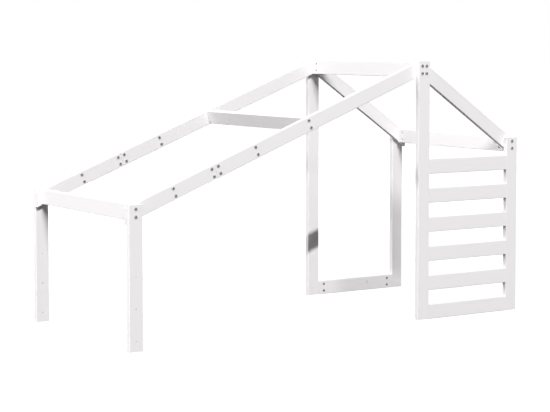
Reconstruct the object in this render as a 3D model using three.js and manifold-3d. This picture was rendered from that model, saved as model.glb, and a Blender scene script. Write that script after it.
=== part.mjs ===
// A white wooden house frame for a child's bed: six uprights, an uneven gable roof, a guard of
// six slats on the near side and one rail at the foot of the far side.
// Millimetres, +Z up. X runs along the length, from the low end to the ridge end, and Y from the
// near side, which has the slats, to the far side.
import * as THREE from 'three';
import { mergeVertices } from 'three/addons/utils/BufferGeometryUtils.js';
import Module from 'manifold-3d';

// Frame as a whole
const frame_length = 2100;
const frame_width = 932;
const board_t = 24;
const side_layers = 2;
const edge_ease = 1.5;

// Uprights
const upright_w = 64;
const left_leg_h = 615;
const ridge_post_h = 1197;
const right_post_h = 830;
const ridge_post_left = 1506;
const leg_hole_d = 5;
const leg_hole_low = 43;
const leg_hole_pitch = 135.5;
const leg_hole_count = 3;

// Rails, slats and cross members
const rail_w = 68;
const slat_count = 6;
const slat_gap = 67.5;
const tenon_t = 12;
const tenon_l = 15;
const tenon_shoulder = 10;
const tenon_clearance = 0.4;
const ridge_top_drop = 3.5;
const middle_beam_along = 918;

// Rafters
const rafter_w = 64;
const long_foot_drop = 2;
const short_foot_rise = 4.5;
const peak_rise = 7.5;
const peak_gap = 0.6;
const splice_along = 435;
const splice_gap = 0.4;
const splice_plate_l = 500;
const splice_bolt_reach = 220;

// Bolts, shared by every bolted joint
const bolt_d = 6;
const bolt_pitch = 34;
const bolt_clearance = 0.5;
const bolt_tip = 3;
const head_d = 15;
const head_h = 3;
const head_ease = 0.8;
const key_d = 5;
const key_depth = 2;

// Barrel nuts in the cross members, and nut bars behind the splice plates
const nut_d = 10;
const nut_l = 14;
const nut_inset = 33;
const nut_clearance = 0.3;
const nut_bar_t = 3;
const nut_bar_w = 16;
const nut_bar_l = 54;

// Cams of the far bottom rail
const cam_d = 12;
const cam_l = 14;
const cam_slot_w = 2;
const cam_bolt_bite = 30;

// How finely round things are drawn, and how far a cutting tool runs past what it cuts
const hole_sides = 10;
const head_sides = 12;
const key_sides = 6;
const overrun = 60;
const reach = 2 * frame_length;

const wasm = await Module();
wasm.setup();

const paint = new THREE.MeshStandardMaterial({ color: 0xf1f0ee, roughness: 0.5, metalness: 0 });
const steel = new THREE.MeshStandardMaterial({ color: 0xa8a7a8, roughness: 0.35, metalness: 1 });

// Places that several pieces share
const leg_mid = upright_w / 2;
const ridge_mid = ridge_post_left + upright_w / 2;
const right_post_left = frame_length - upright_w;
const right_post_mid = frame_length - upright_w / 2;
const bay_left = ridge_post_left + upright_w;
const end_rail_mid_z = left_leg_h - rail_w / 2;
const ridge_mid_z = ridge_post_h - ridge_top_drop - rail_w / 2;
const eaves_mid_z = right_post_h - rail_w / 2;
const peak_z = ridge_mid_z + peak_rise;
const cross_near = side_layers * board_t;
const cross_far = frame_width - cross_near;
const bolt_hole_d = bolt_d + 2 * bolt_clearance;
const slat_pitch = rail_w + slat_gap;

// The two long sides. The outer face of its posts lies at face, and inward points into the frame.
const near = { name: 'near', face: 0, inward: 1 };
const far = { name: 'far', face: frame_width, inward: -1 };

const along_length = new THREE.Vector3(1, 0, 0);
const upwards = new THREE.Vector3(0, 0, 1);

// Solids

function solid(geometry) {
  const bare = geometry.clone();
  bare.deleteAttribute('normal');
  bare.deleteAttribute('uv');
  const joined = mergeVertices(bare);
  const corners = joined.index.array;
  const faces = [];
  for (let i = 0; i < corners.length; i += 3) {
    const [a, b, c] = corners.slice(i, i + 3);
    if (a !== b && b !== c && c !== a) faces.push(a, b, c);
  }
  const vertProperties = joined.attributes.position.array;
  return new wasm.Manifold(new wasm.Mesh({ numProp: 3, vertProperties, triVerts: new Uint32Array(faces) }));
}

function box(low, high) {
  const size = high.map((v, i) => v - low[i]);
  const geometry = new THREE.BoxGeometry(...size);
  return solid(geometry.translate(...low.map((v, i) => v + size[i] / 2)));
}

// A board of the shared thickness with its long edges eased, from start to end along its middle.
function board(start, end, width_way, width) {
  const face = board_t / 2;
  const edge = width / 2;
  const outline = new THREE.Shape([
    new THREE.Vector2(edge_ease - face, -edge),
    new THREE.Vector2(face - edge_ease, -edge),
    new THREE.Vector2(face, edge_ease - edge),
    new THREE.Vector2(face, edge - edge_ease),
    new THREE.Vector2(face - edge_ease, edge),
    new THREE.Vector2(edge_ease - face, edge),
    new THREE.Vector2(-face, edge - edge_ease),
    new THREE.Vector2(-face, edge_ease - edge),
  ]);
  const length_way = end.clone().sub(start);
  const geometry = new THREE.ExtrudeGeometry(outline, { depth: length_way.length(), bevelEnabled: false });
  length_way.normalize();
  const thickness_way = width_way.clone().cross(length_way);
  const placing = new THREE.Matrix4().makeBasis(thickness_way, width_way, length_way);
  return solid(geometry.applyMatrix4(placing.setPosition(start)));
}

// Round bars, to keep or to drill with
function rodY(spot, y0, y1, diameter) {
  const geometry = new THREE.CylinderGeometry(diameter / 2, diameter / 2, y1 - y0, hole_sides);
  return solid(geometry.translate(spot.x, (y0 + y1) / 2, spot.z));
}

function rodX(y, z, x0, x1, diameter) {
  const geometry = new THREE.CylinderGeometry(diameter / 2, diameter / 2, x1 - x0, hole_sides);
  return solid(geometry.rotateZ(Math.PI / 2).translate((x0 + x1) / 2, y, z));
}

// Everything on one side of a plane, for trimming
const leftOf = (x) => box([-reach, -reach, -reach], [x, reach, reach]);
const rightOf = (x) => box([x, -reach, -reach], [reach, reach, reach]);
const above = (z) => box([-reach, -reach, z], [reach, reach, reach]);

function cut(blank, tools) {
  return tools.reduce((rest, tool) => rest.subtract(tool), blank);
}

// A finished solid becomes a mesh whose origin is its own lowest corner.
function piece(name, made, material) {
  const result = made.getMesh();
  const geometry = new THREE.BufferGeometry();
  geometry.setAttribute('position', new THREE.BufferAttribute(result.vertProperties, 3));
  geometry.setIndex(new THREE.BufferAttribute(result.triVerts, 1));
  geometry.computeBoundingBox();
  const corner = geometry.boundingBox.min.clone();
  geometry.translate(-corner.x, -corner.y, -corner.z);
  geometry.computeVertexNormals();
  const mesh = new THREE.Mesh(geometry, material);
  mesh.name = name;
  mesh.position.copy(corner);
  return mesh;
}

// Layers of boards, counted inwards from the outer face of a side, with the post layer as 0
function layer(side, count) {
  const mid = side.face + side.inward * (count * board_t + board_t / 2);
  return { low: mid - board_t / 2, mid, high: mid + board_t / 2 };
}

// Roof lines. A line runs through the middle of its rafter's width and rises to the ridge.

function roofLine(foot_x, foot_z) {
  const rise = (peak_z - foot_z) / (ridge_mid - foot_x);
  const way = new THREE.Vector3(1, 0, rise).normalize();
  const across = new THREE.Vector3(-way.z, 0, way.x);
  const at = (x) => new THREE.Vector3(x, 0, foot_z + rise * (x - foot_x));
  return { slope: Math.atan(rise), way, across, at };
}

const long_line = roofLine(leg_mid, end_rail_mid_z - long_foot_drop);
const short_line = roofLine(right_post_mid, eaves_mid_z + short_foot_rise);

// A board along a roof line between two places on the length, in the layer around y
function sloping(line, x0, x1, y) {
  return board(line.at(x0).setY(y), line.at(x1).setY(y), line.across, rafter_w);
}

// Two bolts across a roof line, the upper first
function pairAcross(line, x, shift) {
  const mid = line.at(x).addScaledVector(line.way, shift);
  return [1, -1].map((end) => mid.clone().addScaledVector(line.across, (end * bolt_pitch) / 2));
}

// Two bolts in an upright, the upper first
function pairUpright(x, z) {
  return [1, -1].map((end) => new THREE.Vector3(x, 0, z + (end * bolt_pitch) / 2));
}

// Joints of the cross members. A bolt passes through so many boards, and the nuts are let in from
// the face that nut_side points to.
const leg_joint = {
  name: 'leg',
  mid: new THREE.Vector3(leg_mid, 0, end_rail_mid_z),
  spots: pairUpright(leg_mid, end_rail_mid_z),
  boards: 2,
  tilt: 0,
  nut_side: 1,
};
const middle_joint = {
  name: 'middle',
  mid: long_line.at(middle_beam_along),
  spots: pairAcross(long_line, middle_beam_along, 0),
  boards: 1,
  tilt: long_line.slope,
  nut_side: 1,
};
const ridge_left_joint = {
  name: 'ridge_left',
  mid: new THREE.Vector3(ridge_mid - board_t / 2, 0, ridge_mid_z),
  spots: pairUpright(ridge_mid - board_t / 2, ridge_mid_z),
  boards: 2,
  tilt: 0,
  nut_side: -1,
};
const ridge_right_joint = {
  name: 'ridge_right',
  mid: new THREE.Vector3(ridge_mid + board_t / 2, 0, ridge_mid_z),
  spots: pairUpright(ridge_mid + board_t / 2, ridge_mid_z),
  boards: 2,
  tilt: 0,
  nut_side: 1,
};
const eaves_joint = {
  name: 'eaves',
  mid: new THREE.Vector3(right_post_mid, 0, eaves_mid_z),
  spots: pairUpright(right_post_mid, eaves_mid_z),
  boards: 2,
  tilt: 0,
  nut_side: -1,
};
const joints = [leg_joint, middle_joint, ridge_left_joint, ridge_right_joint, eaves_joint];

const splicePair = (shift) => pairAcross(long_line, splice_along, shift);
const lower_splice_pairs = [splicePair(-splice_bolt_reach), splicePair(-bolt_pitch / 2)];
const upper_splice_pairs = [splicePair(bolt_pitch / 2), splicePair(splice_bolt_reach)];
const splice_pairs = [...lower_splice_pairs, ...upper_splice_pairs];

function boltHoles(spots, place, diameter = bolt_hole_d) {
  return spots.map((spot) => rodY(spot, place.low - overrun, place.high + overrun, diameter));
}

// Uprights

function upright(side, left, height, tools) {
  const mid_y = layer(side, 0).mid;
  const start = new THREE.Vector3(left + upright_w / 2, mid_y, 0);
  const end = new THREE.Vector3(left + upright_w / 2, mid_y, height);
  return cut(board(start, end, along_length, upright_w), tools);
}

function leftLeg(side) {
  const screws = [];
  for (let i = 0; i < leg_hole_count; i += 1) {
    screws.push(new THREE.Vector3(leg_mid, 0, leg_hole_low + i * leg_hole_pitch));
  }
  const place = layer(side, 0);
  const tools = [...boltHoles(leg_joint.spots, place), ...boltHoles(screws, place, leg_hole_d)];
  return upright(side, 0, left_leg_h, tools);
}

function ridgePost(side, sockets) {
  const spots = [...ridge_left_joint.spots, ...ridge_right_joint.spots];
  return upright(side, ridge_post_left, ridge_post_h, [...boltHoles(spots, layer(side, 0)), ...sockets]);
}

function rightPost(side, sockets) {
  const tools = [...boltHoles(eaves_joint.spots, layer(side, 0)), ...sockets];
  return upright(side, right_post_left, right_post_h, tools);
}

// Rafters. Each long one is two boards butted end to end, with a plate behind the joint.

function longRafterLower(side) {
  const place = layer(side, 1);
  const blank = sloping(long_line, -rafter_w, splice_along - splice_gap / 2, place.mid);
  const spots = [...leg_joint.spots, ...lower_splice_pairs.flat()];
  return cut(blank, [leftOf(0), ...boltHoles(spots, place)]);
}

function longRafterUpper(side) {
  const place = layer(side, 1);
  const blank = sloping(long_line, splice_along + splice_gap / 2, ridge_mid + rafter_w, place.mid);
  const spots = [...upper_splice_pairs.flat(), ...middle_joint.spots, ...ridge_left_joint.spots];
  const trims = [rightOf(ridge_mid - peak_gap / 2), above(ridge_post_h)];
  return cut(blank, [...trims, ...boltHoles(spots, place)]);
}

function shortRafter(side) {
  const place = layer(side, 1);
  const blank = sloping(short_line, ridge_mid - rafter_w, frame_length + rafter_w, place.mid);
  const spots = [...ridge_right_joint.spots, ...eaves_joint.spots];
  const trims = [leftOf(ridge_mid + peak_gap / 2), above(ridge_post_h), rightOf(frame_length)];
  return cut(blank, [...trims, ...boltHoles(spots, place)]);
}

// On both sides the bolt heads face the near side, so the plate lies on the rafter's other face.
function plateLayer(side) {
  const low = layer(side, 1).high;
  return { low, mid: low + board_t / 2, high: low + board_t };
}

function splicePlate(side) {
  const place = plateLayer(side);
  const half_run = (splice_plate_l / 2) * long_line.way.x;
  const blank = sloping(long_line, splice_along - half_run, splice_along + half_run, place.mid);
  return cut(blank, boltHoles(splice_pairs.flat(), place));
}

// Cross members, with bolt holes in both ends and cross holes for the barrel nuts

function crossWays(joint, geometry, spot, y) {
  return solid(geometry.rotateY(-joint.tilt).translate(spot.x, y, spot.z));
}

function nutPocket(joint, spot, y) {
  const inner = nut_l / 2 + nut_clearance;
  const outer = board_t / 2 + overrun;
  const radius = nut_d / 2 + nut_clearance;
  const geometry = new THREE.CylinderGeometry(radius, radius, inner + outer, hole_sides);
  geometry.rotateZ(Math.PI / 2).translate((joint.nut_side * (outer - inner)) / 2, 0, 0);
  return crossWays(joint, geometry, spot, y);
}

function barrelNut(joint, spot, y) {
  const geometry = new THREE.CylinderGeometry(nut_d / 2, nut_d / 2, nut_l, hole_sides);
  return crossWays(joint, geometry.rotateZ(Math.PI / 2), spot, y);
}

function crossMember(joint, width) {
  const width_way = new THREE.Vector3(-Math.sin(joint.tilt), 0, Math.cos(joint.tilt));
  const start = joint.mid.clone().setY(cross_near);
  const end = joint.mid.clone().setY(cross_far);
  const drill = nut_inset + nut_d / 2 + bolt_tip + bolt_clearance;
  const tools = [];
  for (const spot of joint.spots) {
    tools.push(rodY(spot, cross_near - overrun, cross_near + drill, bolt_hole_d));
    tools.push(rodY(spot, cross_far - drill, cross_far + overrun, bolt_hole_d));
    tools.push(nutPocket(joint, spot, cross_near + nut_inset));
    tools.push(nutPocket(joint, spot, cross_far - nut_inset));
  }
  return cut(board(start, end, width_way, width), tools);
}

// Bolts. Each is one body with the nut that it is screwed into.

// A socket-head bolt along Y. Its head sits on the plane y = seat, and its shank runs to heading.
function bolt(spot, seat, heading, length) {
  const profile = [
    new THREE.Vector2(0, -head_h),
    new THREE.Vector2(head_d / 2 - head_ease, -head_h),
    new THREE.Vector2(head_d / 2, head_ease - head_h),
    new THREE.Vector2(head_d / 2, 0),
    new THREE.Vector2(bolt_d / 2, 0),
    new THREE.Vector2(bolt_d / 2, length),
    new THREE.Vector2(0, length),
  ];
  const turn = heading > 0 ? 0 : Math.PI;
  const put = (geometry) => solid(geometry.rotateX(turn).translate(spot.x, seat, spot.z));
  const key = new THREE.CylinderGeometry(key_d / 2, key_d / 2, 2 * key_depth, key_sides);
  return put(new THREE.LatheGeometry(profile, head_sides)).subtract(put(key.translate(0, -head_h, 0)));
}

// A bolt of a cross member with its barrel nut
function crossBolt(side, joint, spot) {
  const seat = side.face + side.inward * (side_layers - joint.boards) * board_t;
  const length = joint.boards * board_t + nut_inset + nut_d / 2 + bolt_tip;
  const nut_y = side.face + side.inward * (cross_near + nut_inset);
  return bolt(spot, seat, side.inward, length).add(barrelNut(joint, spot, nut_y));
}

// Two splice bolts with the flat bar that both are screwed into
function spliceBolts(side, pair) {
  const seat = layer(side, 1).low;
  const back = plateLayer(side).high;
  const mid = pair[0].clone().add(pair[1]).divideScalar(2);
  const bar = new THREE.BoxGeometry(nut_bar_w, nut_bar_t, nut_bar_l);
  bar.rotateY(-long_line.slope).translate(mid.x, back + nut_bar_t / 2, mid.z);
  const length = back - seat + nut_bar_t - bolt_clearance;
  return pair.reduce((whole, spot) => whole.add(bolt(spot, seat, 1, length)), solid(bar));
}

// Guard on the near side: slats with a stub tenon at each end, let into the posts

const guard_y = layer(near, 0).mid;

// The core of a slat, tenon to tenon, grown all round by some clearance
function slatCore(index, grown) {
  const low_z = index * slat_pitch + tenon_shoulder;
  const high_z = index * slat_pitch + rail_w - tenon_shoulder;
  return box(
    [bay_left - tenon_l - grown, guard_y - tenon_t / 2 - grown, low_z - grown],
    [right_post_left + tenon_l + grown, guard_y + tenon_t / 2 + grown, high_z + grown],
  );
}

function guardSlat(index) {
  const mid_z = index * slat_pitch + rail_w / 2;
  const start = new THREE.Vector3(bay_left, guard_y, mid_z);
  const end = new THREE.Vector3(right_post_left, guard_y, mid_z);
  return board(start, end, upwards, rail_w).add(slatCore(index, 0));
}

// Rail at the foot of the far side, held by two cams at each end

const far_board = layer(far, 0);
const left_cams = { name: 'left', face: bay_left, into: 1 };
const right_cams = { name: 'right', face: right_post_left, into: -1 };
const cam_heights = [rail_w / 2 + bolt_pitch / 2, rail_w / 2 - bolt_pitch / 2];

// The bolt that a cam draws in, from inside the post to the cam's middle
function camBolt(end, z, extra_d, extra_l) {
  const tip = end.face - end.into * (cam_bolt_bite + extra_l);
  const cam_x = end.face + end.into * nut_inset;
  return rodX(far_board.mid, z, Math.min(tip, cam_x), Math.max(tip, cam_x), bolt_d + extra_d);
}

const camBoltHoles = (end) => cam_heights.map((z) => camBolt(end, z, 2 * bolt_clearance, bolt_clearance));

function camSpot(end, z) {
  return new THREE.Vector3(end.face + end.into * nut_inset, 0, z);
}

function cam(end, z) {
  const spot = camSpot(end, z);
  const slot = box(
    [spot.x - cam_d, far_board.low - overrun, z - cam_slot_w / 2],
    [spot.x + cam_d, far_board.low + cam_slot_w, z + cam_slot_w / 2],
  );
  return rodY(spot, far_board.low, far_board.low + cam_l, cam_d).subtract(slot).add(camBolt(end, z, 0, 0));
}

function farBottomRail() {
  const start = new THREE.Vector3(bay_left, far_board.mid, rail_w / 2);
  const end = new THREE.Vector3(right_post_left, far_board.mid, rail_w / 2);
  const floor = far_board.low + cam_l + nut_clearance;
  const tools = [];
  for (const cams of [left_cams, right_cams]) {
    tools.push(...camBoltHoles(cams));
    for (const z of cam_heights) {
      tools.push(rodY(camSpot(cams, z), far_board.low - overrun, floor, cam_d + 2 * nut_clearance));
    }
  }
  return cut(board(start, end, upwards, rail_w), tools);
}

// Assembly

function buildSide(side, left_sockets, right_sockets) {
  const group = new THREE.Group();
  group.add(
    piece(`${side.name}_left_leg`, leftLeg(side), paint),
    piece(`${side.name}_ridge_post`, ridgePost(side, left_sockets), paint),
    piece(`${side.name}_right_post`, rightPost(side, right_sockets), paint),
    piece(`${side.name}_long_rafter_lower`, longRafterLower(side), paint),
    piece(`${side.name}_long_rafter_upper`, longRafterUpper(side), paint),
    piece(`${side.name}_short_rafter`, shortRafter(side), paint),
    piece(`${side.name}_splice_plate`, splicePlate(side), paint),
  );
  splice_pairs.forEach((pair, i) => {
    group.add(piece(`${side.name}_splice_bolts_${i + 1}`, spliceBolts(side, pair), steel));
  });
  for (const joint of joints) {
    const [upper, lower] = joint.spots;
    group.add(piece(`${side.name}_${joint.name}_bolt_upper`, crossBolt(side, joint, upper), steel));
    group.add(piece(`${side.name}_${joint.name}_bolt_lower`, crossBolt(side, joint, lower), steel));
  }
  return group;
}

function buildGuard() {
  const group = new THREE.Group();
  for (let i = 0; i < slat_count; i += 1) group.add(piece(`guard_slat_${i + 1}`, guardSlat(i), paint));
  return group;
}

function buildFarRail() {
  const group = new THREE.Group();
  const [upper_z, lower_z] = cam_heights;
  group.add(piece('far_bottom_rail', farBottomRail(), paint));
  for (const end of [left_cams, right_cams]) {
    group.add(piece(`rail_cam_${end.name}_upper`, cam(end, upper_z), steel));
    group.add(piece(`rail_cam_${end.name}_lower`, cam(end, lower_z), steel));
  }
  return group;
}

function buildCrossMembers() {
  const group = new THREE.Group();
  return group.add(
    piece('left_end_rail', crossMember(leg_joint, rail_w), paint),
    piece('middle_cross_beam', crossMember(middle_joint, rafter_w), paint),
    piece('ridge_board_left', crossMember(ridge_left_joint, rail_w), paint),
    piece('ridge_board_right', crossMember(ridge_right_joint, rail_w), paint),
    piece('eaves_beam', crossMember(eaves_joint, rail_w), paint),
  );
}

const mortises = [];
for (let i = 0; i < slat_count; i += 1) mortises.push(slatCore(i, tenon_clearance));

// The origin is on the floor, under the middle of the frame's length and width.
const house_frame = new THREE.Group();
house_frame.position.set(-frame_length / 2, -frame_width / 2, 0);
house_frame.add(
  buildSide(near, mortises, mortises),
  buildSide(far, camBoltHoles(left_cams), camBoltHoles(right_cams)),
  buildGuard(),
  buildFarRail(),
  buildCrossMembers(),
);

export default house_frame;
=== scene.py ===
# A white wooden house frame for a child's bed, dressed for its picture: boards of planed softwood
# under satin paint, held together by zinc plated bolts, barrel nuts, nut bars and cams.
import math

import bmesh
import bpy
from mathutils import Euler, Matrix, Vector


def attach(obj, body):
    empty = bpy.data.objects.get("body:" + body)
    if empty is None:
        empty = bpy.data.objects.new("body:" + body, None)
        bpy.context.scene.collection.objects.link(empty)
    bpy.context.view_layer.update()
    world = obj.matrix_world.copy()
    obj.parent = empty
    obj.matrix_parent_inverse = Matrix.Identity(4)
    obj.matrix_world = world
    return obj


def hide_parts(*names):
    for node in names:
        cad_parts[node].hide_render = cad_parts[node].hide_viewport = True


# The frame's solids, as they were cut and drilled. The floor lies at height 0, and the middle of
# the frame's length and width is the origin.
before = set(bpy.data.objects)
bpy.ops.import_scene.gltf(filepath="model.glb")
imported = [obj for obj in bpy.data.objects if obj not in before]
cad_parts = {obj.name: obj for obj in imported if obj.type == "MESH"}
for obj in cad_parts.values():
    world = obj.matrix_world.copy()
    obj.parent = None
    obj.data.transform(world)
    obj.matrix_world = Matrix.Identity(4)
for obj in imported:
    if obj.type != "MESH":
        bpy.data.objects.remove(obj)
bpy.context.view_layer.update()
bpy.ops.object.select_all(action="DESELECT")


# Uprights: six planed softwood boards on end, 24 mm thick, with their long edges eased. They are
# sprayed satin white once they have been cut and drilled, so the grain shows only faintly.
MM = 0.001
QUARTER_TURN = math.radians(90)
HALF_LENGTH = 1050 * MM
HALF_WIDTH = 466 * MM
BOARD_T = 24 * MM
UPRIGHT_W = 64 * MM
LEFT_LEG_H = 615 * MM
RIDGE_POST_H = 1197 * MM
RIGHT_POST_H = 830 * MM
RIDGE_POST_LEFT = 1506 * MM


def add_node(tree, kind, settings=None, **values):
    """Adds a node, sets its settings, and fills its sockets from values and from other sockets."""
    made = tree.nodes.new(kind)
    for name, value in (settings or {}).items():
        setattr(made, name, value)
    for name, value in values.items():
        key = int(name[2:]) if name.startswith("at") else name.replace("_", " ")
        socket = made.inputs[key]
        if isinstance(value, bpy.types.NodeSocket):
            tree.links.new(value, socket)
        else:
            socket.default_value = value
    return made


def reckon(tree, operation, *values):
    """The result of a math node."""
    sockets = {f"at{i}": value for i, value in enumerate(values)}
    return add_node(tree, "ShaderNodeMath", {"operation": operation}, **sockets).outputs[0]


def reckon_vector(tree, operation, *values):
    """The result of a vector math node: a number for a length or a dot product, else a vector."""
    sockets = {f"at{i}": value for i, value in enumerate(values)}
    made = add_node(tree, "ShaderNodeVectorMath", {"operation": operation}, **sockets)
    return made.outputs["Value" if operation in ("LENGTH", "DOT_PRODUCT") else "Vector"]


def graded(tree, value, start, end, low, high, kind="LINEAR"):
    """A grade that goes from low to high while a value goes from start to end."""
    made = add_node(
        tree, "ShaderNodeMapRange", {"interpolation_type": kind},
        Value=value, at1=start, at2=end, at3=low, at4=high,
    )
    return made.outputs["Result"]


def tinted(tree, share, colour, tint):
    """A colour with a share of a tint mixed in."""
    made = add_node(
        tree, "ShaderNodeMix", {"data_type": "RGBA"}, Factor=share, at6=colour, at7=tint
    )
    return made.outputs[2]


def seeded_noise(tree, space, seed, scale=1.0, detail=2.0, roughness=0.5):
    """Noise that a seed makes different on every board."""
    made = add_node(
        tree, "ShaderNodeTexNoise", {"noise_dimensions": "4D"},
        Vector=space, W=seed, Scale=scale, Detail=detail, Roughness=roughness,
    )
    return made.outputs["Fac"]


def shared_effect(name, inputs, outputs):
    """Starts a shader node group with named sockets, and gives its tree, input and output node."""
    tree = bpy.data.node_groups.new(name, "ShaderNodeTree")
    for label, kind, value in inputs:
        socket = tree.interface.new_socket(label, in_out="INPUT", socket_type=kind)
        if value is not None:
            socket.default_value = value
    for label in outputs:
        tree.interface.new_socket(label, in_out="OUTPUT", socket_type="NodeSocketFloat")
    return tree, tree.nodes.new("NodeGroupInput"), tree.nodes.new("NodeGroupOutput")


RING_WIDTH = 4.2 * MM
SWAY_STRETCH = (1.4, 11, 11)
SWAY_BY = 34 * MM
TRUNK_TAPER = 0.018
LATE_WOOD_START = 0.35
LATE_WOOD_FULL = 0.92
FIBRE_STRETCH = (7, 210, 210)


def growth_rings():
    """Growth rings of a sawn board. X runs along the board, and the pith lies beside it."""
    tree, given, result = shared_effect(
        "growth rings under paint",
        [
            ("Board Place", "NodeSocketVector", None),
            ("Pith", "NodeSocketVector", (0, 0, 0)),
            ("Ring Width", "NodeSocketFloat", RING_WIDTH),
            ("Seed", "NodeSocketFloat", 0.0),
        ],
        ["Late Wood", "Streaks"],
    )
    place = given.outputs["Board Place"]
    seed = given.outputs["Seed"]
    sway = seeded_noise(tree, reckon_vector(tree, "MULTIPLY", place, SWAY_STRETCH), seed)
    from_pith = reckon_vector(tree, "SUBTRACT", place, given.outputs["Pith"])
    split = add_node(tree, "ShaderNodeSeparateXYZ", Vector=from_pith)
    taper = reckon(tree, "MULTIPLY", split.outputs["X"], TRUNK_TAPER)
    across = add_node(tree, "ShaderNodeCombineXYZ", Y=split.outputs["Y"], Z=split.outputs["Z"])
    radius = reckon_vector(tree, "LENGTH", across.outputs["Vector"])
    swaying = reckon(tree, "MULTIPLY_ADD", sway, SWAY_BY, radius)
    leaning = reckon(tree, "ADD", swaying, taper)
    year = reckon(tree, "FRACT", reckon(tree, "DIVIDE", leaning, given.outputs["Ring Width"]))
    late = graded(tree, year, LATE_WOOD_START, LATE_WOOD_FULL, 0.0, 1.0, "SMOOTHERSTEP")
    fibre_space = reckon_vector(tree, "MULTIPLY", place, FIBRE_STRETCH)
    fibres = seeded_noise(tree, fibre_space, seed, detail=3.0, roughness=0.6)
    tree.links.new(late, result.inputs["Late Wood"])
    tree.links.new(fibres, result.inputs["Streaks"])
    return tree


NO_KNOT = (9, 9, 9)
KNOT_SIZE = 8 * MM
KNOT_SHAPE = (1, 0.4, 0.6)
KNOT_CORE_SHARE = 0.4
STRAY_KNOT_CELLS = (2.6, 4.2, 7.0)
STRAY_KNOT_CORE = 0.03
STRAY_KNOT_EDGE = 0.075
STRAY_KNOT_DEPTH = 0.3


def knot_ghosts():
    """Knots that show through the paint: one at a given place, and a few stray ones."""
    tree, given, result = shared_effect(
        "knots under paint",
        [
            ("Board Place", "NodeSocketVector", None),
            ("Knot Place", "NodeSocketVector", NO_KNOT),
            ("Knot Size", "NodeSocketFloat", KNOT_SIZE),
            ("Seed", "NodeSocketFloat", 0.0),
        ],
        ["Knot"],
    )
    place = given.outputs["Board Place"]
    from_knot = reckon_vector(tree, "SUBTRACT", place, given.outputs["Knot Place"])
    reach = reckon_vector(tree, "LENGTH", reckon_vector(tree, "MULTIPLY", from_knot, KNOT_SHAPE))
    share = reckon(tree, "DIVIDE", reach, given.outputs["Knot Size"])
    given_knot = graded(tree, share, KNOT_CORE_SHARE, 1.0, 1.0, 0.0, "SMOOTHSTEP")
    cells = add_node(
        tree, "ShaderNodeTexVoronoi", {"voronoi_dimensions": "4D", "feature": "F1"},
        Vector=reckon_vector(tree, "MULTIPLY", place, STRAY_KNOT_CELLS),
        W=given.outputs["Seed"], Scale=1.0, Randomness=0.8,
    )
    stray = graded(
        tree, cells.outputs["Distance"],
        STRAY_KNOT_CORE, STRAY_KNOT_EDGE, STRAY_KNOT_DEPTH, 0.0, "SMOOTHSTEP",
    )
    tree.links.new(reckon(tree, "MAXIMUM", given_knot, stray), result.inputs["Knot"])
    return tree


DRIFT_STRETCH = (3, 12, 12)
PEBBLES_TO_A_METRE = 620


def sprayed_coat():
    """The paint's own surface: a slow drift in tone and the fine pebbling of a sprayed coat."""
    tree, given, result = shared_effect(
        "sprayed coat",
        [("Board Place", "NodeSocketVector", None), ("Seed", "NodeSocketFloat", 0.0)],
        ["Drift", "Pebbling"],
    )
    place = given.outputs["Board Place"]
    seed = given.outputs["Seed"]
    drift = seeded_noise(tree, reckon_vector(tree, "MULTIPLY", place, DRIFT_STRETCH), seed)
    pebbling = seeded_noise(tree, place, seed, scale=PEBBLES_TO_A_METRE, roughness=0.55)
    tree.links.new(drift, result.inputs["Drift"])
    tree.links.new(pebbling, result.inputs["Pebbling"])
    return tree


ARRIS_REACH = 1.6 * MM
ARRIS_ROUND = 0.80
ARRIS_FLAT = 0.995
PATCH_START = 0.48
PATCH_FULL = 0.70
BOARD_PATCHES_TO_A_METRE = 18


def handled_arris():
    """Edges where hands and packing have thinned the finish, in patches along the arris."""
    tree, given, result = shared_effect(
        "handled arris",
        [
            ("Place", "NodeSocketVector", None),
            ("Patches To A Metre", "NodeSocketFloat", BOARD_PATCHES_TO_A_METRE),
        ],
        ["Worn"],
    )
    rounded = add_node(tree, "ShaderNodeBevel", {"samples": 6}, Radius=ARRIS_REACH)
    flat = add_node(tree, "ShaderNodeNewGeometry")
    facing = reckon_vector(
        tree, "DOT_PRODUCT", rounded.outputs["Normal"], flat.outputs["True Normal"]
    )
    edge = graded(tree, facing, ARRIS_ROUND, ARRIS_FLAT, 1.0, 0.0, "SMOOTHSTEP")
    patches = add_node(
        tree, "ShaderNodeTexNoise", {"noise_dimensions": "3D"},
        Vector=given.outputs["Place"], Scale=given.outputs["Patches To A Metre"],
        Detail=4.0, Roughness=0.65,
    )
    where = graded(
        tree, patches.outputs["Fac"], PATCH_START, PATCH_FULL, 0.0, 1.0, "SMOOTHSTEP"
    )
    tree.links.new(reckon(tree, "MULTIPLY", edge, where), result.inputs["Worn"])
    return tree


PAINT_WHITE = (0.866, 0.848, 0.862, 1)
PAINT_THIN = (0.80, 0.77, 0.735, 1)
PAINT_OVER_KNOT = (0.72, 0.70, 0.68, 1)
PAINT_ROUGHNESS = 0.58
PAINT_SMOOTHER_BY = 0.05
PAINT_ROUGHER_BY = 0.07
PAINT_SHEEN = 0.12
LATE_WOOD_TINT = 0.16
DRIFT_TINT = 0.12
WORN_TINT = 0.5
NOISE_LOW = 0.3
NOISE_HIGH = 0.7
RING_RELIEF = 0.35
GRAIN_BUMP = 0.35
GRAIN_DEPTH = 0.22 * MM
PEBBLE_BUMP = 0.25
PEBBLE_DEPTH = 0.09 * MM
SEED_STEP = 1.7
PITH_ASIDE = 30 * MM
PITH_ASIDE_SPREAD = 11 * MM
PITH_ASIDE_PACE = 2.1
PITH_HEIGHT_SPREAD = 22 * MM
PITH_HEIGHT_PACE = 3.7
rings = growth_rings()
knots = knot_ghosts()
coat = sprayed_coat()
arris = handled_arris()
boards_painted = []


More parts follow.
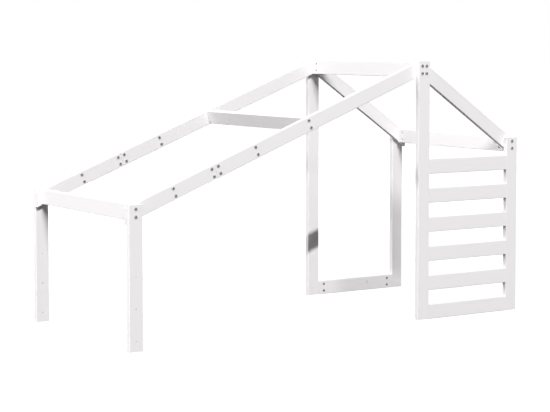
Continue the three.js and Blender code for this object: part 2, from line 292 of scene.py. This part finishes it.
def start_material(name):
    """A material with an empty node tree."""
    made = bpy.data.materials.new(name)
    made.use_nodes = True
    made.node_tree.nodes.clear()
    return made, made.node_tree


def white_paint(name, middle, turn, knot):
    """Satin white paint on one board. middle and turn lay the board's length along X."""
    boards_painted.append(name)
    seed = SEED_STEP * len(boards_painted)
    pith_aside = PITH_ASIDE + PITH_ASIDE_SPREAD * math.sin(PITH_ASIDE_PACE * seed)
    pith_height = PITH_HEIGHT_SPREAD * math.cos(PITH_HEIGHT_PACE * seed)
    made, tree = start_material(f"white paint on {name}")
    where = add_node(tree, "ShaderNodeTexCoord").outputs["Object"]
    laid = add_node(
        tree, "ShaderNodeMapping", {"vector_type": "TEXTURE"},
        Vector=where, Location=middle, Rotation=turn,
    )
    place = laid.outputs["Vector"]
    grain = add_node(
        tree, "ShaderNodeGroup", {"node_tree": rings},
        Board_Place=place, Pith=(0, pith_aside, pith_height), Seed=seed,
    )
    ghost = add_node(
        tree, "ShaderNodeGroup", {"node_tree": knots},
        Board_Place=place, Knot_Place=knot, Seed=seed,
    )
    sprayed = add_node(
        tree, "ShaderNodeGroup", {"node_tree": coat}, Board_Place=place, Seed=seed
    )
    handled = add_node(tree, "ShaderNodeGroup", {"node_tree": arris}, Place=where)

    late_tint = graded(tree, grain.outputs["Late Wood"], 0.0, 1.0, 0.0, LATE_WOOD_TINT)
    grained = tinted(tree, late_tint, PAINT_WHITE, PAINT_THIN)
    drift_tint = graded(tree, sprayed.outputs["Drift"], NOISE_LOW, NOISE_HIGH, 0.0, DRIFT_TINT)
    drifted = tinted(tree, drift_tint, grained, PAINT_THIN)
    knotted = tinted(tree, ghost.outputs["Knot"], drifted, PAINT_OVER_KNOT)
    worn_tint = reckon(tree, "MULTIPLY", handled.outputs["Worn"], WORN_TINT)
    worn = tinted(tree, worn_tint, knotted, PAINT_THIN)
    roughness = graded(
        tree, grain.outputs["Streaks"], NOISE_LOW, NOISE_HIGH,
        PAINT_ROUGHNESS - PAINT_SMOOTHER_BY, PAINT_ROUGHNESS + PAINT_ROUGHER_BY,
    )
    relief = reckon(
        tree, "MULTIPLY_ADD", grain.outputs["Late Wood"], RING_RELIEF, grain.outputs["Streaks"]
    )
    grain_bump = add_node(
        tree, "ShaderNodeBump", Strength=GRAIN_BUMP, Distance=GRAIN_DEPTH, Height=relief
    )
    pebble_bump = add_node(
        tree, "ShaderNodeBump", Strength=PEBBLE_BUMP, Distance=PEBBLE_DEPTH,
        Height=sprayed.outputs["Pebbling"], Normal=grain_bump.outputs["Normal"],
    )
    shader = add_node(
        tree, "ShaderNodeBsdfPrincipled",
        Base_Color=worn, Specular_IOR_Level=PAINT_SHEEN, Roughness=roughness,
        Normal=pebble_bump.outputs["Normal"],
    )
    add_node(tree, "ShaderNodeOutputMaterial", Surface=shader.outputs["BSDF"])
    return made


ARRIS_ROUNDING = 0.5 * MM
ARRIS_ANGLE = math.radians(25)
WELD_REACH = 0.02 * MM
FLAT_ANGLE = math.radians(0.5)


def add_modifier(piece, name, kind, **settings):
    """Adds a live modifier to a piece and sets it."""
    made = piece.modifiers.new(name, kind)
    for key, value in settings.items():
        setattr(made, key, value)


def finish_board(node, middle, turn, knot=NO_KNOT):
    """Rounds the eased edges of a packed board a little further, and paints it."""
    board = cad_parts[node]
    board.data.materials.clear()
    board.data.materials.append(white_paint(node, middle, turn, knot))
    add_modifier(board, "joined faces", "WELD", merge_threshold=WELD_REACH)
    add_modifier(
        board, "merged faces", "DECIMATE", decimate_type="DISSOLVE", angle_limit=FLAT_ANGLE
    )
    add_modifier(
        board, "rounded arris", "BEVEL",
        width=ARRIS_ROUNDING, segments=2, limit_method="ANGLE", angle_limit=ARRIS_ANGLE,
    )
    add_modifier(board, "true faces", "WEIGHTED_NORMAL", mode="FACE_AREA", keep_sharp=True)


stands_up = Euler((0, -QUARTER_TURN, 0))


def finish_upright(node, left, y, height):
    """Finishes a board that stands on its end, given its left edge, its layer and its height."""
    middle = Vector((left + UPRIGHT_W / 2 - HALF_LENGTH, y, height / 2))
    finish_board(node, middle, stands_up)


outer_layer = {"near": BOARD_T / 2 - HALF_WIDTH, "far": HALF_WIDTH - BOARD_T / 2}
for side, y in outer_layer.items():
    finish_upright(f"{side}_left_leg", 0, y, LEFT_LEG_H)
    finish_upright(f"{side}_ridge_post", RIDGE_POST_LEFT, y, RIDGE_POST_H)
    finish_upright(f"{side}_right_post", 2 * HALF_LENGTH - UPRIGHT_W, y, RIGHT_POST_H)


# Rafters: boards of the same stock laid on the uprights' inner faces along the roof's slopes. The
# long slope is two boards butted end to end, and both slopes are cut plumb where they meet.
RAIL_W = 68 * MM
RIDGE_MID = RIDGE_POST_LEFT + UPRIGHT_W / 2
RIDGE_BOARD_DROP = 3.5 * MM
RIDGE_BOARD_Z = RIDGE_POST_H - RIDGE_BOARD_DROP - RAIL_W / 2
PEAK_ABOVE_RIDGE_BOARD = 7.5 * MM
PEAK_Z = RIDGE_BOARD_Z + PEAK_ABOVE_RIDGE_BOARD
LONG_FOOT_DROP = 2 * MM
SHORT_FOOT_RISE = 4.5 * MM
SPLICE_ALONG = 435 * MM


def slope_line(foot_x, foot_z):
    """The line through the middle of a slope's rafters: a place on it, and its slope."""
    rise = (PEAK_Z - foot_z) / (RIDGE_MID - foot_x)
    return lambda x, y: Vector((x - HALF_LENGTH, y, foot_z + rise * (x - foot_x))), math.atan(rise)


on_long_line, long_slope = slope_line(UPRIGHT_W / 2, LEFT_LEG_H - RAIL_W / 2 - LONG_FOOT_DROP)
on_short_line, short_slope = slope_line(
    2 * HALF_LENGTH - UPRIGHT_W / 2, RIGHT_POST_H - RAIL_W / 2 + SHORT_FOOT_RISE
)
up_long_slope = Euler((0, -long_slope, 0))
down_short_slope = Euler((0, -short_slope, 0))
lower_middle = SPLICE_ALONG / 2
upper_middle = (SPLICE_ALONG + RIDGE_MID) / 2
short_middle = (RIDGE_MID + 2 * HALF_LENGTH) / 2
rafter_layer = {"near": 1.5 * BOARD_T - HALF_WIDTH, "far": HALF_WIDTH - 1.5 * BOARD_T}
for side, y in rafter_layer.items():
    finish_board(f"{side}_long_rafter_lower", on_long_line(lower_middle, y), up_long_slope)
    finish_board(f"{side}_long_rafter_upper", on_long_line(upper_middle, y), up_long_slope)
    finish_board(f"{side}_short_rafter", on_short_line(short_middle, y), down_short_slope)


# Splice plates: a length of rafter stock bolted over each butt joint of a long slope, on the face
# that looks to the far side.
plate_layer = {"near": 2.5 * BOARD_T - HALF_WIDTH, "far": HALF_WIDTH - BOARD_T / 2}
for side, y in plate_layer.items():
    finish_board(f"{side}_splice_plate", on_long_line(SPLICE_ALONG, y), up_long_slope)


# Cross members: five boards that run from side to side between the rafters and hold the two sides
# apart. Both ends are drilled for a pair of bolts, with cross holes for the barrel nuts.
MIDDLE_BEAM_ALONG = 918 * MM


def across_frame(tilt=0.0):
    """The turn that lays a board from side to side, tilted with the slope it sits on."""
    return Euler((-tilt, 0, QUARTER_TURN))


end_rail_middle = Vector((UPRIGHT_W / 2 - HALF_LENGTH, 0, LEFT_LEG_H - RAIL_W / 2))
middle_beam_middle = on_long_line(MIDDLE_BEAM_ALONG, 0)
ridge_left_middle = Vector((RIDGE_MID - BOARD_T / 2 - HALF_LENGTH, 0, RIDGE_BOARD_Z))
ridge_right_middle = Vector((RIDGE_MID + BOARD_T / 2 - HALF_LENGTH, 0, RIDGE_BOARD_Z))
eaves_middle = Vector((HALF_LENGTH - UPRIGHT_W / 2, 0, RIGHT_POST_H - RAIL_W / 2))
finish_board("left_end_rail", end_rail_middle, across_frame())
finish_board("middle_cross_beam", middle_beam_middle, across_frame(long_slope))
finish_board("ridge_board_left", ridge_left_middle, across_frame())
finish_board("ridge_board_right", ridge_right_middle, across_frame())
finish_board("eaves_beam", eaves_middle, across_frame())


# Guard slats: six boards between the near ridge post and the near right post, one above the other
# from the floor up, let into the posts with stub tenons.
SLAT_COUNT = 6
SLAT_GAP = 67.5 * MM
BAY_MIDDLE = (RIDGE_POST_LEFT + 2 * HALF_LENGTH) / 2 - HALF_LENGTH
lies_along = Euler((0, 0, 0))
for i in range(SLAT_COUNT):
    slat_z = i * (RAIL_W + SLAT_GAP) + RAIL_W / 2
    slat_middle = Vector((BAY_MIDDLE, outer_layer["near"], slat_z))
    finish_board(f"guard_slat_{i + 1}", slat_middle, lies_along)


# Far bottom rail: one board at the foot of the far side, drawn against the posts by cams that are
# let into its inner face. A knot shows faintly through its paint.
RAIL_KNOT = (0.072, -0.012, 0.006)
rail_middle = Vector((BAY_MIDDLE, outer_layer["far"], RAIL_W / 2))
finish_board("far_bottom_rail", rail_middle, lies_along, RAIL_KNOT)


# Bolts of the cross members: zinc plated socket head bolts, each screwed into a barrel nut that
# lies in a cross hole of the board. A screwdriver slot in the nut's end turns it in line.
HEAD_RADIUS = 7.5 * MM
HEAD_H = 3 * MM
HEAD_EASE = 0.9 * MM
KEY_RADIUS = 3.4 * MM
KEY_DEPTH = 2.4 * MM
KEY_CONE = 0.5 * MM
SHANK_RADIUS = 3 * MM
TIP_CHAMFER = 0.6 * MM
TIP_SHARE = 0.8
BOLT_PITCH = 34 * MM
BOLT_SPIN = 1.9
NUT_RADIUS = 5 * MM
NUT_L = 14 * MM
NUT_EASE = 0.4 * MM
NUT_SLOT_W = 1.5 * MM
NUT_SLOT_DEPTH = 1.6 * MM
NUT_INSET = 33 * MM
NUT_REACH = 8 * MM
HEAD_SIDES = 36
KEY_SIDES = 6
NUT_SIDES = 28
HOLE_SIDES = 24
SMOOTH_ANGLE = math.radians(30)
CUT_OVERRUN = 1 * MM
SAME_HEIGHT = 0.01 * MM
FLAT_FACING = 0.9
ZINC = (0.33, 0.33, 0.345, 1)
ZINC_DULL = (0.24, 0.24, 0.255, 1)
ZINC_RUBBED = (0.66, 0.66, 0.67, 1)
ZINC_SMOOTHEST = 0.30
ZINC_ROUGHEST = 0.40
SHADE_LOW = 0.35
SHADE_HIGH = 0.65
SHADES_TO_A_METRE = 170
CRYSTALS_TO_A_METRE = 1500
CRYSTAL_BUMP = 0.3
CRYSTAL_DEPTH = 0.06 * MM
STEEL_PATCHES_TO_A_METRE = 260
# Mark and colour for painted shade in sockets, slots and holes, with a little oil and dust.
RECESS_SHADE_AND_OIL = "recess_shade_and_oil"
RECESS_SHADE_AND_OIL_COLOUR = (0.035, 0.034, 0.033, 1)
RECESS_ROUGHER_BY = 0.3


def mottled_zinc():
    """Zinc plating: fine crystals and a slow change of shade."""
    tree, given, result = shared_effect(
        "mottled zinc", [("Place", "NodeSocketVector", None)], ["Shade", "Crystals"]
    )
    place = given.outputs["Place"]
    shade = add_node(
        tree, "ShaderNodeTexNoise", Vector=place, Scale=SHADES_TO_A_METRE, Detail=3.0
    )
    crystals = add_node(
        tree, "ShaderNodeTexVoronoi", Vector=place, Scale=CRYSTALS_TO_A_METRE, Randomness=1.0
    )
    tree.links.new(shade.outputs["Fac"], result.inputs["Shade"])
    tree.links.new(crystals.outputs["Distance"], result.inputs["Crystals"])
    return tree


def plated_steel():
    """Zinc plated steel, rubbed along its edges, with painted shade and some oil dark in its
    recesses.
    """
    made, tree = start_material("zinc plated steel")
    place = add_node(tree, "ShaderNodeTexCoord").outputs["Object"]
    zinc = add_node(tree, "ShaderNodeGroup", {"node_tree": mottled_zinc()}, Place=place)
    handled = add_node(
        tree, "ShaderNodeGroup", {"node_tree": arris},
        Place=place, Patches_To_A_Metre=STEEL_PATCHES_TO_A_METRE,
    )
    recess_shade_and_oil = add_node(tree, "ShaderNodeAttribute", {"attribute_name": RECESS_SHADE_AND_OIL}).outputs["Fac"]
    mottling = graded(tree, zinc.outputs["Shade"], SHADE_LOW, SHADE_HIGH, 0.0, 1.0)
    plated = tinted(tree, mottling, ZINC, ZINC_DULL)
    rubbed = tinted(tree, handled.outputs["Worn"], plated, ZINC_RUBBED)
    # Painted shade: faces left by the cutters are darkened almost to black, partly for oil and
    # dust.
    shaded_and_oiled = tinted(tree, recess_shade_and_oil, rubbed, RECESS_SHADE_AND_OIL_COLOUR)
    roughness = graded(
        tree, zinc.outputs["Shade"], NOISE_LOW, NOISE_HIGH, ZINC_SMOOTHEST, ZINC_ROUGHEST
    )
    bump = add_node(
        tree, "ShaderNodeBump",
        Strength=CRYSTAL_BUMP, Distance=CRYSTAL_DEPTH, Height=zinc.outputs["Crystals"],
    )
    shader = add_node(
        tree, "ShaderNodeBsdfPrincipled",
        Base_Color=shaded_and_oiled, Metallic=1.0, Normal=bump.outputs["Normal"],
        Roughness=reckon(tree, "MULTIPLY_ADD", recess_shade_and_oil, RECESS_ROUGHER_BY, roughness),
    )
    add_node(tree, "ShaderNodeOutputMaterial", Surface=shader.outputs["BSDF"])
    return made


zinc_steel = plated_steel()


def pick(piece, kind, test):
    """In edit mode, selects only the faces or edges of a piece that pass a test."""
    bpy.ops.mesh.select_mode(type=kind)
    bpy.ops.mesh.select_all(action="DESELECT")
    mesh = bmesh.from_edit_mesh(piece.data)
    for part in mesh.faces if kind == "FACE" else mesh.edges:
        if test(part):
            part.select_set(True)
    bmesh.update_edit_mesh(piece.data)


def pick_underside(piece):
    """Selects the faces of a piece that look down."""
    pick(piece, "FACE", lambda face: face.normal.z < -FLAT_FACING)


def ease_rim(piece, height, ease, steps):
    """Rounds the rim that lies at one height."""
    pick(
        piece, "EDGE",
        lambda edge: all(abs(corner.co.z - height) < SAME_HEIGHT for corner in edge.verts),
    )
    bpy.ops.mesh.bevel(offset=ease, segments=steps, affect="EDGES")


def draw_down(way):
    """Extrudes the picked face downwards."""
    bpy.ops.mesh.extrude_region_move(TRANSFORM_OT_translate={"value": (0, 0, -way)})


def lay_along_y():
    """Lays a piece that stands along Z along Y."""
    bpy.ops.mesh.select_all(action="SELECT")
    bpy.ops.transform.rotate(value=QUARTER_TURN, orient_axis="X", center_override=(0, 0, 0))


def open_new(name):
    """Names the piece that was just added, and opens it in edit mode."""
    piece = bpy.context.object
    piece.name = name
    bpy.ops.object.transform_apply(location=True, rotation=True, scale=True)
    bpy.ops.object.mode_set(mode="EDIT")
    return piece


def start_rod(name, radius, low, high, sides):
    """A round bar along Z from low to high, left in edit mode."""
    bpy.ops.object.select_all(action="DESELECT")
    bpy.ops.mesh.primitive_cylinder_add(
        vertices=sides, radius=radius, depth=high - low, location=(0, 0, (low + high) / 2)
    )
    return open_new(name)


def start_block(name, low, high):
    """A block between two corners, left in edit mode."""
    bpy.ops.object.select_all(action="DESELECT")
    middle = (Vector(low) + Vector(high)) / 2
    bpy.ops.mesh.primitive_cube_add(size=1, location=middle, scale=Vector(high) - Vector(low))
    return open_new(name)


def shade_smooth():
    """Leaves edit mode, and shades round faces as round."""
    bpy.ops.object.mode_set(mode="OBJECT")
    bpy.ops.object.shade_smooth_by_angle(angle=SMOOTH_ANGLE)


def mark_recess_shade_and_oil(piece, share):
    """Marks every face of a piece with how much oil, dust and painted shade darken it."""
    marks = piece.data.attributes.get(RECESS_SHADE_AND_OIL) or piece.data.attributes.new(RECESS_SHADE_AND_OIL, "FLOAT", "FACE")
    for mark in marks.data:
        mark.value = share


def cut_away(piece, cutter):
    """Cuts a cutter's shape out of a piece, marks the cut faces for painted shade, removes the
    cutter.
    """
    bpy.ops.object.mode_set(mode="OBJECT")
    if RECESS_SHADE_AND_OIL not in piece.data.attributes:
        mark_recess_shade_and_oil(piece, 0)
    mark_recess_shade_and_oil(cutter, 1)
    bpy.ops.object.select_all(action="DESELECT")
    piece.select_set(True)
    bpy.context.view_layer.objects.active = piece
    add_modifier(piece, "cut", "BOOLEAN", operation="DIFFERENCE", object=cutter)
    bpy.ops.object.modifier_apply(modifier="cut")
    bpy.data.objects.remove(cutter)


def socket_bolt(name, length):
    """A bolt on end: its head stands on height 0 and its shank reaches down from there."""
    made = start_rod(name, HEAD_RADIUS, 0, HEAD_H, HEAD_SIDES)
    ease_rim(made, HEAD_H, HEAD_EASE, steps=4)
    pick_underside(made)
    bpy.ops.mesh.inset(thickness=HEAD_RADIUS - SHANK_RADIUS)
    draw_down(length - TIP_CHAMFER)
    draw_down(TIP_CHAMFER)
    bpy.ops.transform.resize(value=(TIP_SHARE, TIP_SHARE, 1))
    bpy.ops.object.mode_set(mode="OBJECT")
    key = start_rod("key", KEY_RADIUS, HEAD_H - KEY_DEPTH, HEAD_H + CUT_OVERRUN, KEY_SIDES)
    pick_underside(key)
    bpy.ops.mesh.inset(thickness=KEY_CONE)
    bpy.ops.transform.translate(value=(0, 0, -KEY_CONE))
    cut_away(made, key)
    shade_smooth()
    return made


def barrel_nut():
    """A barrel nut on end, with its slotted end up and its cross hole along Y."""
    made = start_rod("barrel nut", NUT_RADIUS, -NUT_L / 2, NUT_L / 2, NUT_SIDES)
    ease_rim(made, NUT_L / 2, NUT_EASE, steps=2)
    ease_rim(made, -NUT_L / 2, NUT_EASE, steps=2)
    bpy.ops.object.mode_set(mode="OBJECT")
    slot_low = (-NUT_SLOT_W / 2, -2 * NUT_RADIUS, NUT_L / 2 - NUT_SLOT_DEPTH)
    cut_away(made, start_block("slot", slot_low, (NUT_SLOT_W / 2, 2 * NUT_RADIUS, NUT_L)))
    thread = start_rod("thread", SHANK_RADIUS, -2 * NUT_RADIUS, 2 * NUT_RADIUS, HOLE_SIDES)
    lay_along_y()
    cut_away(made, thread)
    shade_smooth()
    return made


def placed_copy(model, name, turn, place):
    """A copy of a modelled piece with a mesh of its own, turned and then set at its place."""
    made = model.copy()
    made.data = model.data.copy()
    made.name = name
    bpy.context.scene.collection.objects.link(made)
    bpy.ops.object.select_all(action="DESELECT")
    made.select_set(True)
    bpy.context.view_layer.objects.active = made
    made.rotation_euler = turn
    made.location = place
    bpy.ops.object.transform_apply(location=True, rotation=True, scale=True)
    return made


def stand_for(name, node, parts):
    """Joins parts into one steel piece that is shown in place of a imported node."""
    bpy.ops.object.select_all(action="DESELECT")
    for part in parts:
        part.select_set(True)
    bpy.context.view_layer.objects.active = parts[0]
    bpy.ops.object.join()
    whole = bpy.context.object
    whole.name = name
    whole.data.materials.clear()
    whole.data.materials.append(zinc_steel)
    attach(whole, "root")
    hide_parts(node)


def heading(way, spin):
    """Lays a bolt's shank towards +Y or -Y, spun about its own middle."""
    laid = Matrix.Rotation(way * QUARTER_TURN, 4, "X") @ Matrix.Rotation(spin, 4, "Z")
    return laid.to_euler()


TWO_BOARDS = 2 * BOARD_T
cross_bolt = socket_bolt("cross bolt", TWO_BOARDS + NUT_INSET + NUT_REACH)
middle_bolt = socket_bolt("middle bolt", BOARD_T + NUT_INSET + NUT_REACH)
nut = barrel_nut()
inward = {"near": 1, "far": -1}
pair = {"upper": 0.5, "lower": -0.5}
# Each joint's middle, its tilt, how many boards its bolts cross before they reach the member, and
# the way its nuts' slots look: 1 for the right and -1 for the left.
joints = {
    "leg": (end_rail_middle, 0.0, 2, 1),
    "middle": (middle_beam_middle, long_slope, 1, 1),
    "ridge_left": (ridge_left_middle, 0.0, 2, -1),
    "ridge_right": (ridge_right_middle, 0.0, 2, 1),
    "eaves": (eaves_middle, 0.0, 2, -1),
}
bolts_set = 0
for side, way in inward.items():
    for joint, (middle, tilt, boards, nut_side) in joints.items():
        for level, up in pair.items():
            node = f"{side}_{joint}_bolt_{level}"
            spot = middle + Vector((-math.sin(tilt), 0, math.cos(tilt))) * up * BOLT_PITCH
            seat = way * ((2 - boards) * BOARD_T - HALF_WIDTH)
            bolt_turn = heading(way, BOLT_SPIN * bolts_set)
            bolts_set += 1
            model = cross_bolt if boards == 2 else middle_bolt
            bolt = placed_copy(model, node, bolt_turn, (spot.x, seat, spot.z))
            slot_up = Euler((0, nut_side * QUARTER_TURN - tilt, 0))
            nut_y = way * (TWO_BOARDS + NUT_INSET - HALF_WIDTH)
            barrel = placed_copy(nut, node, slot_up, (spot.x, nut_y, spot.z))
            stand_for(f"{node}_and_nut", node, [bolt, barrel])


# Splice bolts: eight pairs of shorter bolts through the rafters and splice plates, heads to the
# near side. A flat steel bar with two threaded holes takes each pair at the plate's back.
SPLICE_REACH = 220 * MM
TIP_SHORT_BY = 0.5 * MM
BAR_W = 16 * MM
BAR_L = 54 * MM
BAR_T = 3 * MM
BAR_CORNER = 5 * MM
BAR_EASE = 0.4 * MM
splice_bolt = socket_bolt("splice bolt", TWO_BOARDS + BAR_T - TIP_SHORT_BY)
nut_bar = start_block("nut bar", (-BAR_W / 2, 0, -BAR_L / 2), (BAR_W / 2, BAR_T, BAR_L / 2))
pick(nut_bar, "EDGE", lambda edge: abs(edge.verts[0].co.y - edge.verts[1].co.y) > BAR_T / 2)
bpy.ops.mesh.bevel(offset=BAR_CORNER, segments=5, affect="EDGES")
pick(nut_bar, "FACE", lambda face: abs(face.normal.y) > FLAT_FACING)
bpy.ops.mesh.region_to_loop()
bpy.ops.mesh.bevel(offset=BAR_EASE, segments=2, affect="EDGES")
bpy.ops.object.mode_set(mode="OBJECT")
for up in pair.values():
    hole = start_rod("hole", SHANK_RADIUS, -BAR_T, 2 * BAR_T, HOLE_SIDES)
    lay_along_y()
    bpy.ops.transform.translate(value=(0, BAR_T / 2, up * BOLT_PITCH))
    cut_away(nut_bar, hole)
shade_smooth()
up_slope = Vector((math.cos(long_slope), 0, math.sin(long_slope)))
across_slope = Vector((-math.sin(long_slope), 0, math.cos(long_slope)))
splice_shifts = (-SPLICE_REACH, -BOLT_PITCH / 2, BOLT_PITCH / 2, SPLICE_REACH)
splice_seat = {"near": BOARD_T - HALF_WIDTH, "far": HALF_WIDTH - TWO_BOARDS}
for side, seat in splice_seat.items():
    for i, shift in enumerate(splice_shifts):
        middle = on_long_line(SPLICE_ALONG, seat) + up_slope * shift
        node = f"{side}_splice_bolts_{i + 1}"
        parts = []
        for up in pair.values():
            spot = middle + across_slope * up * BOLT_PITCH
            bolt_turn = heading(1, BOLT_SPIN * bolts_set)
            parts.append(placed_copy(splice_bolt, node, bolt_turn, spot))
            bolts_set += 1
        back = middle + Vector((0, TWO_BOARDS, 0))
        parts.append(placed_copy(nut_bar, node, up_long_slope, back))
        stand_for(f"{node}_and_bar", node, parts)


# Cams of the far bottom rail: die-cast drums let into its inner face, two at each end. A thin
# flange covers the bore's edge, a cross slot turns the cam, and it draws in a rod from the post.
CAM_RADIUS = 6 * MM
CAM_L = 14 * MM
CAM_FLANGE_RADIUS = 6.9 * MM
CAM_FLANGE_H = 0.6 * MM
CAM_EASE = 0.3 * MM
CAM_SLOT_W = 2 * MM
CAM_SLOT_DEPTH = 2 * MM
CAM_LONG_SLOT = 2 * CAM_RADIUS
CAM_SHORT_SLOT = 1.3 * CAM_RADIUS
CAM_ROD_BITE = 30 * MM
CAM_ROD_SIDES = 20
cam_drum = start_rod("cam drum", CAM_FLANGE_RADIUS, 0, CAM_FLANGE_H, HEAD_SIDES)
ease_rim(cam_drum, CAM_FLANGE_H, CAM_EASE, steps=2)
pick_underside(cam_drum)
bpy.ops.mesh.inset(thickness=CAM_FLANGE_RADIUS - CAM_RADIUS)
draw_down(CAM_L)
bpy.ops.object.mode_set(mode="OBJECT")
for length_x, length_y in ((CAM_LONG_SLOT, CAM_SLOT_W), (CAM_SLOT_W, CAM_SHORT_SLOT)):
    slot_low = (-length_x / 2, -length_y / 2, -CAM_SLOT_DEPTH)
    cut_away(cam_drum, start_block("slot", slot_low, (length_x / 2, length_y / 2, CAM_L)))
shade_smooth()
cam_rod = start_rod("cam rod", SHANK_RADIUS, -CAM_ROD_BITE, NUT_INSET, CAM_ROD_SIDES)
ease_rim(cam_rod, -CAM_ROD_BITE, TIP_CHAMFER, steps=2)
shade_smooth()
cam_ends = {
    "left": (RIDGE_POST_LEFT + UPRIGHT_W - HALF_LENGTH, 1),
    "right": (HALF_LENGTH - UPRIGHT_W, -1),
}
for end, (face_x, into) in cam_ends.items():
    for level, up in pair.items():
        node = f"rail_cam_{end}_{level}"
        height = RAIL_W / 2 + up * BOLT_PITCH
        cam_place = (face_x + into * NUT_INSET, HALF_WIDTH - BOARD_T, height)
        drum = placed_copy(cam_drum, node, Euler((QUARTER_TURN, 0, 0)), cam_place)
        rod_turn = Euler((0, into * QUARTER_TURN, 0))
        rod = placed_copy(cam_rod, node, rod_turn, (face_x, outer_layer["far"], height))
        stand_for(f"{node}_and_rod", node, [drum, rod])

for model in (cross_bolt, middle_bolt, nut, splice_bolt, nut_bar, cam_drum, cam_rod):
    bpy.data.objects.remove(model)


# Floor: a plain pale sheet that runs on to the horizon. Its glow is painted light: white along its
# length, a little greyer from above as a painted sheen, and brighter far off. It takes the frame's
# soft shadow, and throws hardly any light back up.
FLOOR_SIDE = 120
FLOOR_DROP = 0.2 * MM
FLOOR_GLOW_NEAR = 0.91
FLOOR_GLOW_FAR = 1.0
GLOW_NEAR_AT = 3.0
GLOW_FAR_AT = 9.0
FLOOR_FROM_ABOVE = 0.68
FACING_FROM_ABOVE = 0.35
FACING_ALONG = 0.79
FLOOR_SHOWN = (0.22, 0.22, 0.22, 1)
FLOOR_DARK = (0.01, 0.01, 0.01, 1)
WHITE = (1, 1, 1, 1)


def seen_rays(tree):
    """1 for the rays that show a thing as it is, in a mirror or through glass, and 0 for others."""
    ray = add_node(tree, "ShaderNodeLightPath").outputs
    seen_or_mirrored = reckon(tree, "MAXIMUM", ray["Is Camera Ray"], ray["Is Glossy Ray"])
    return reckon(tree, "MAXIMUM", seen_or_mirrored, ray["Is Transmission Ray"])


floor_paint, tree = start_material("pale floor")
seen = seen_rays(tree)
where = add_node(tree, "ShaderNodeTexCoord")
out = reckon_vector(tree, "LENGTH", where.outputs["Object"])
# Painted light: the glow grows a little away from the frame, and a painted sheen lowers it from
# above.
brighter = graded(tree, out, GLOW_NEAR_AT, GLOW_FAR_AT, FLOOR_GLOW_NEAR, FLOOR_GLOW_FAR)
slant = add_node(tree, "ShaderNodeLayerWeight", Blend=0.5)
whiter = graded(
    tree, slant.outputs["Facing"],
    FACING_FROM_ABOVE, FACING_ALONG, FLOOR_FROM_ABOVE, 1.0, "SMOOTHSTEP",
)
shine = reckon(tree, "MULTIPLY", brighter, whiter)
glow = add_node(tree, "ShaderNodeEmission", Color=WHITE, Strength=shine)
pale = add_node(tree, "ShaderNodeBsdfDiffuse", Color=FLOOR_SHOWN)
shown = add_node(tree, "ShaderNodeAddShader", at0=glow.outputs[0], at1=pale.outputs[0])
dark = add_node(tree, "ShaderNodeBsdfDiffuse", Color=FLOOR_DARK)
choice = add_node(
    tree, "ShaderNodeMixShader", at0=seen, at1=dark.outputs[0], at2=shown.outputs[0]
)
add_node(tree, "ShaderNodeOutputMaterial", Surface=choice.outputs[0])
bpy.ops.mesh.primitive_plane_add(size=FLOOR_SIDE, location=(0, 0, -FLOOR_DROP))
floor = bpy.context.object
floor.name = "floor"
floor.data.materials.append(floor_paint)


# Light: a long narrow strip lamp far off, high on the left behind the camera, a soft box beyond
# the low end, and a weak even sky. Weak boxes in front, on the right and behind fill the shade.
SKY_STRENGTH = 0.09
world = bpy.data.worlds.new("pale surroundings")
bpy.context.scene.world = world
world.use_nodes = True
tree = world.node_tree
tree.nodes.clear()
sky = add_node(tree, "ShaderNodeBackground", Color=WHITE, Strength=SKY_STRENGTH)
white = add_node(tree, "ShaderNodeBackground", Color=WHITE, Strength=1.0)
choice = add_node(
    tree, "ShaderNodeMixShader", at0=seen_rays(tree), at1=sky.outputs[0], at2=white.outputs[0]
)
add_node(tree, "ShaderNodeOutputWorld", Surface=choice.outputs[0])


def lamp(name, place, along, length, width, watts):
    """A rectangular lamp that faces the frame, with its length as near the way along as it goes."""
    back = Vector(place).normalized()
    lies = (Vector(along) - back * back.dot(Vector(along))).normalized()
    bpy.ops.object.light_add(type="AREA")
    made = bpy.context.object
    made.name = name
    made.data.shape = "RECTANGLE"
    made.data.size = length
    made.data.size_y = width
    made.data.energy = watts
    made.location = place
    made.rotation_euler = Matrix((lies, back.cross(lies), back)).transposed().to_euler()
    made.visible_camera = False


KEY_DISTANCE = 30
KEY_HIGH_END = Vector((-0.15, -1.0, 0.9782)) * KEY_DISTANCE
KEY_LOW_END = Vector((-0.59, -1.0, 0.8066)) * KEY_DISTANCE
key_middle = (KEY_HIGH_END + KEY_LOW_END) / 2
key_way = KEY_LOW_END - KEY_HIGH_END
along_x = (1, 0, 0)
along_y = (0, 1, 0)
lamp("key strip", key_middle, key_way, length=key_way.length, width=0.55, watts=18250)
lamp("left box", (-17.96, 1.0, 8.77), along_y, length=10.0, width=2.0, watts=3180)
lamp("front box", (1.5, -7.0, 1.8), along_x, length=3.0, width=2.0, watts=50)
lamp("right box", (6.0, 2.0, 1.2), along_y, length=3.0, width=3.0, watts=200)
lamp("back box", (2.5, 7.0, 1.4), along_x, length=3.0, width=3.0, watts=270)


# Camera: a little above the ridge and looking slightly down, with the rest of the framing done by
# a small shift, so that the uprights stay all but parallel.
PICTURE_W = 550
FOCAL_PX = 1693.64
SENSOR_W = 36
CAMERA_PLACE = (-4.32309, -6.64089, 1.30145)
LOOK_DOWN = math.radians(3.5)
LOOK_RIGHT = math.radians(32.8803)
SHIFT_UP = -0.11574
SEES_TO = 200
bpy.ops.object.camera_add(
    location=CAMERA_PLACE, rotation=(QUARTER_TURN - LOOK_DOWN, 0, -LOOK_RIGHT)
)
camera = bpy.context.object
camera.data.sensor_width = SENSOR_W
camera.data.lens = FOCAL_PX / PICTURE_W * SENSOR_W
camera.data.shift_y = SHIFT_UP
camera.data.clip_end = SEES_TO
bpy.context.scene.camera = camera
bpy.context.scene.view_settings.view_transform = "Standard"
